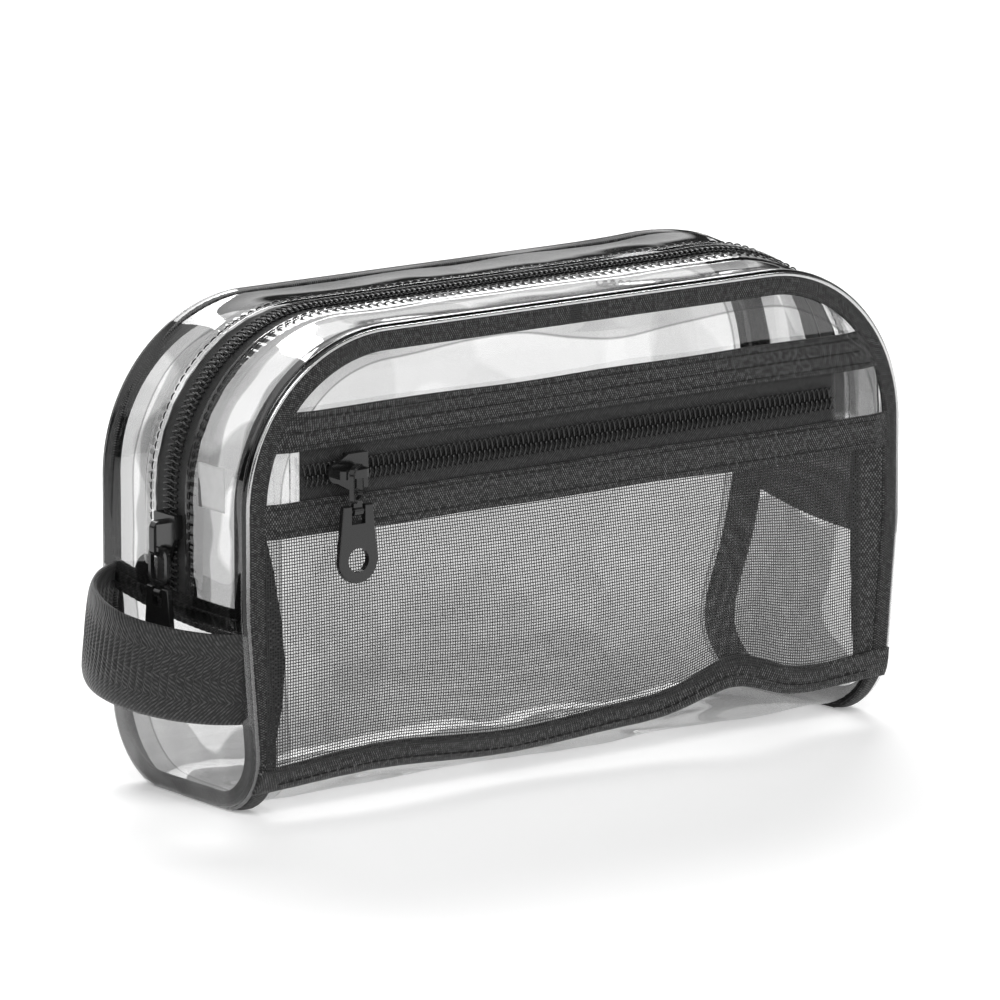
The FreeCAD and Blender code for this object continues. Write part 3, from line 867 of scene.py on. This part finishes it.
def add_net():
    """Square net of fine threads on the pocket's front, held by the tapes round it."""
    points, faces = [], []
    left, right = NET_LOW[0] - 4.6, NET_HIGH[0] + 1.4
    top = NET_HIGH[2] + 1.0

    def place(x, share):
        base = NET_LOW[2] - 1.5 + base_lift(x) * 0.9
        z = base + (top - base) * share
        return Vector((x, -HALF_D - net_depth(x, z), z))

    def out(i):
        return Vector((0, -1, 0.02))

    shares = steps(0, 1, 0.062)
    count = round((right - left) / NET_PITCH)
    for i in range(count + 1):
        x = left + (right - left) * i / count
        tube(points, faces, [place(x, s) for s in shares], THREAD_R, 3, out, False, THREAD_FLAT)
    rows = round((top - NET_LOW[2]) / NET_PITCH)
    xs = steps(left, right, 3.6)
    for i in range(rows + 1):
        tube(points, faces, [place(x, i / rows) for x in xs], THREAD_R, 3, out, False, THREAD_FLAT)
    net = new_piece("pocket_net", points, faces, "black_mesh", replaces=["pocket_mesh"], smooth=False)


# ---------------------------------------------------------------- handle, label, stitching

HANDLE_W = 25.0
HANDLE_T = 1.3
HANDLE_Z = 43.0
HANDLE_TILT = math.radians(9.0)
HANDLE_END_X = 105.0
HANDLE_OUT_X = 131.3
HANDLE_END_Y = HALF_D - 2.0
HANDLE_ENDS = (-0.985, 0.94)      # where the webbing stops at the front and the back, inside the seams
RIB_PITCH = 2.2


def handle_arc(share):
    """x and y on the handle's middle line; share runs from -1 at the front to 1 at the back."""
    rise = HANDLE_OUT_X - HANDLE_END_X
    radius = (HANDLE_END_Y ** 2 + rise ** 2) / (2 * rise)
    reach = math.asin(HANDLE_END_Y / radius)
    a = share * reach
    return -(HANDLE_OUT_X - radius + radius * math.cos(a)), radius * math.sin(a), radius * reach


def add_handle():
    def point(share, v):
        x, y, half = handle_arc(share)
        rib = 0.07 * math.cos(2 * math.pi * share * half / RIB_PITCH) * math.cos(math.pi * v / HANDLE_W) ** 2
        edge = abs(v) / (HANDLE_W / 2)
        scale = 1 + (rib - 0.25 * edge ** 8) / 30
        z = v * math.cos(HANDLE_TILT) + y * math.sin(HANDLE_TILT)
        yy = y * math.cos(HANDLE_TILT) - v * math.sin(HANDLE_TILT)
        lean = 0.8 * ripple(share * 1.2, v / 20, 71.0)
        return x * scale - lean * (1 - share * share), yy * scale, HANDLE_Z + z
    half = handle_arc(1)[2]
    piece = grid("webbing_handle", steps(*HANDLE_ENDS, 0.55 / half),
                 steps(-HANDLE_W / 2, HANDLE_W / 2, 0.8), point, "black_webbing",
                 uv=lambda s, v: (s * half, v + HANDLE_W / 2), thick=HANDLE_T, replaces=["side_handle"])


def add_label():
    low, high = span("label_blank")

    def point(z, y):
        return low[0] + 0.2 + 0.15 * ripple(y / 6, z / 6, 81.0), y, z

    grid("blank_label", steps(low[2], high[2], 1.0), steps(low[1], high[1], 1.0), point, "label_film",
         thick=LABEL_T, replaces=["label_blank"])


def thread_radius(share):
    return 0.16 + 0.08 * math.sin(math.pi * share)


def add_stitches(name, runs):
    """Sewing thread; each run is (start, end, place, out), with place(s) on the cloth's face."""
    points, faces = [], []
    for start, end, place, out in runs:
        for i in range(int((end - start) / STITCH_PITCH)):
            at = start + i * STITCH_PITCH
            path = []
            for k in range(6):
                s = at + STITCH_LEN * k / 5
                path.append(Vector(place(s)) + Vector(out(s)) * (0.24 * math.sin(math.pi * k / 5) - 0.06))
            tube(points, faces, path, thread_radius, 5, lambda k: Vector(out(at)))
    new_piece(name, points, faces, "black_binding")


def front_run(z, y):
    def place(x):
        return x, y, z
    reach = half_width(z) - STITCH_MARGIN
    return -reach, reach, place, lambda s: (0, -1, 0)


def arch_run(side, y, lift, start):
    def place(s):
        x, z, nx, nz = arch(s)
        return x + nx * lift, side * y, z + nz * lift

    def out(s):
        nx, nz = arch(s)[2:]
        return nx, 0, nz
    return start, ARCH - start, place, out


def face_run(side, inset, depth):
    """Along the binding on the front or back face."""
    def place(s):
        x, z, nx, nz = arch(s)
        return x - nx * inset, side * (HALF_D - depth), z - nz * inset
    return arch_at(BASE_R), ARCH - arch_at(BASE_R), place, lambda s: (0, side, 0)


def seam_run(side, v):
    def place(y):
        z = seam_height(y) + v
        return side * (half_width(z) + 0.25), y, z
    return -HALF_D + 3, HALF_D - 3, place, lambda s: (side, 0, 0)


def add_stitching():
    front = WOVEN_Y - STRIP_T / 2
    upper_low, upper_high = span("pocket_upper_strip")
    lower_low, lower_high = span("pocket_lower_strip")
    lines = [upper_high[2] - 1.8, upper_high[2] - 5.4, upper_low[2] + 1.5]
    lines += [lower_high[2] - 1.4, lower_low[2] + 1.8]
    add_stitches("stitching_pocket", [front_run(z, front) for z in lines])
    zip_line = ZIP_HALF_WINDOW + 2.0
    start = arch_at(SEAM_Z + 4)
    add_stitches("stitching_zip", [arch_run(side, zip_line, 0.6, start) for side in (-1, 1)])
    add_stitches("stitching_binding", [face_run(side, BIND_FACE - 1.2, SHEET_T) for side in (-1, 1)])
    add_stitches("stitching_seams", [seam_run(side, v) for side in (-1, 1) for v in (-1.6, 1.8)])

    def base_place(x):
        z = 9.5 + base_lift(x)
        return x, -half_depth(z) - 1.95, z
    add_stitches("stitching_base", [(-98, 100, base_place, lambda s: (0, -1, 0))])


# ---------------------------------------------------------------- metal parts


EDGE_R = 0.22


def add_metal():
    """Sliders and pulls keep the CAD's shape, with softened edges that catch the light."""
    bodies = frame["record"]["behaviour"]["bodies"]
    for body, nodes in sorted(bodies.items()):
        if body == "root":
            continue
        for node in nodes:
            source = bpy.data.objects[node]
            mesh = source.data.copy()
            mesh.materials.clear()
            mesh.materials.append(FINISH["black_metal"])
            piece = bpy.data.objects.new("cast_" + node, mesh)
            bpy.context.collection.objects.link(piece)
            bevel = piece.modifiers.new("edges", "BEVEL")
            bevel.width = EDGE_R * MM
            bevel.segments = 2
            bevel.angle_limit = math.radians(35)
            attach(piece, body)
            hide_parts(node)


# ---------------------------------------------------------------- stage


FLOOR_REACH = 6.0      # metres
FLOOR_DROP = 0.0002    # keeps the floor just clear of the bag
FLOOR_GLOW = 0.27      # lifts the shadow to nearly white
ROOM_STRENGTH = 0.95
PLAIN_STRENGTH = 1.1   # the white seen straight behind the bag
LAMP_POWER = 40


def add_floor():
    mesh = bpy.data.meshes.new("floor")
    r = FLOOR_REACH
    corners = [(-r, -r, 0), (r, -r, 0), (r, r, 0), (-r, r, 0)]
    mesh.from_pydata(corners, [], [(0, 1, 2, 3)])
    n = Nodes("floor")
    place = n.add("ShaderNodeTexCoord").outputs["Object"]
    tone = n.ramp(n.noise(place, 3.0), [(0.0, 0.87), (1.0, 0.9)])
    shader = n.add("ShaderNodeBsdfPrincipled", {
        "Base Color": tone, "Roughness": 0.6,
        "Emission Color": (1, 1, 1, 1), "Emission Strength": FLOOR_GLOW})
    mesh.materials.append(n.finish(shader.outputs[0]))
    floor = bpy.data.objects.new("floor", mesh)
    floor.location.z = -FLOOR_DROP
    bpy.context.collection.objects.link(floor)


def add_light(name, place, size, power):
    light = bpy.data.lights.new(name, "AREA")
    light.shape = "RECTANGLE"
    light.size, light.size_y = size
    light.energy = power
    obj = bpy.data.objects.new(name, light)
    obj.location = place
    obj.rotation_euler = Vector(place).to_track_quat("Z", "Y").to_euler()
    bpy.context.collection.objects.link(obj)


def add_world():
    """White studio with a few dark panels that only show as reflections."""
    world = bpy.data.worlds.new("studio")
    world.use_nodes = True
    tree = world.node_tree
    tree.nodes.clear()
    out = tree.nodes.new("ShaderNodeOutputWorld")
    coords = tree.nodes.new("ShaderNodeTexCoord")
    cloud = tree.nodes.new("ShaderNodeTexNoise")
    cloud.inputs["Scale"].default_value = 1.7
    cloud.inputs["Detail"].default_value = 0.6
    panels = tree.nodes.new("ShaderNodeValToRGB")
    for element, (place, tone) in zip(panels.color_ramp.elements, ((0.44, 0.03), (0.51, 1.0))):
        element.position = place
        element.color = (tone, tone, tone, 1)
    room = tree.nodes.new("ShaderNodeBackground")
    room.inputs["Strength"].default_value = ROOM_STRENGTH
    plain = tree.nodes.new("ShaderNodeBackground")
    plain.inputs["Color"].default_value = (1, 1, 1, 1)
    plain.inputs["Strength"].default_value = PLAIN_STRENGTH
    path = tree.nodes.new("ShaderNodeLightPath")
    mix = tree.nodes.new("ShaderNodeMixShader")
    link = tree.links.new
    link(coords.outputs["Generated"], cloud.inputs["Vector"])
    link(cloud.outputs["Fac"], panels.inputs["Fac"])
    link(panels.outputs["Color"], room.inputs["Color"])
    link(path.outputs["Is Camera Ray"], mix.inputs[0])
    link(room.outputs[0], mix.inputs[1])
    link(plain.outputs[0], mix.inputs[2])
    link(mix.outputs[0], out.inputs["Surface"])
    bpy.context.scene.world = world


# ---------------------------------------------------------------- build

add_clear_sheets()
add_binding()
add_bead()
add_side_seams()
add_zip_end_patches()
add_main_zip()
add_pocket()
add_handle()
add_label()
add_stitching()
add_metal()
add_floor()
add_world()
add_light("key", (-1.2, -1.6, 2.2), (1.6, 1.2), LAMP_POWER)
add_light("rear", (1.0, 1.8, 1.8), (1.8, 1.0), LAMP_POWER)
bpy.context.scene.view_settings.view_transform = "Standard"
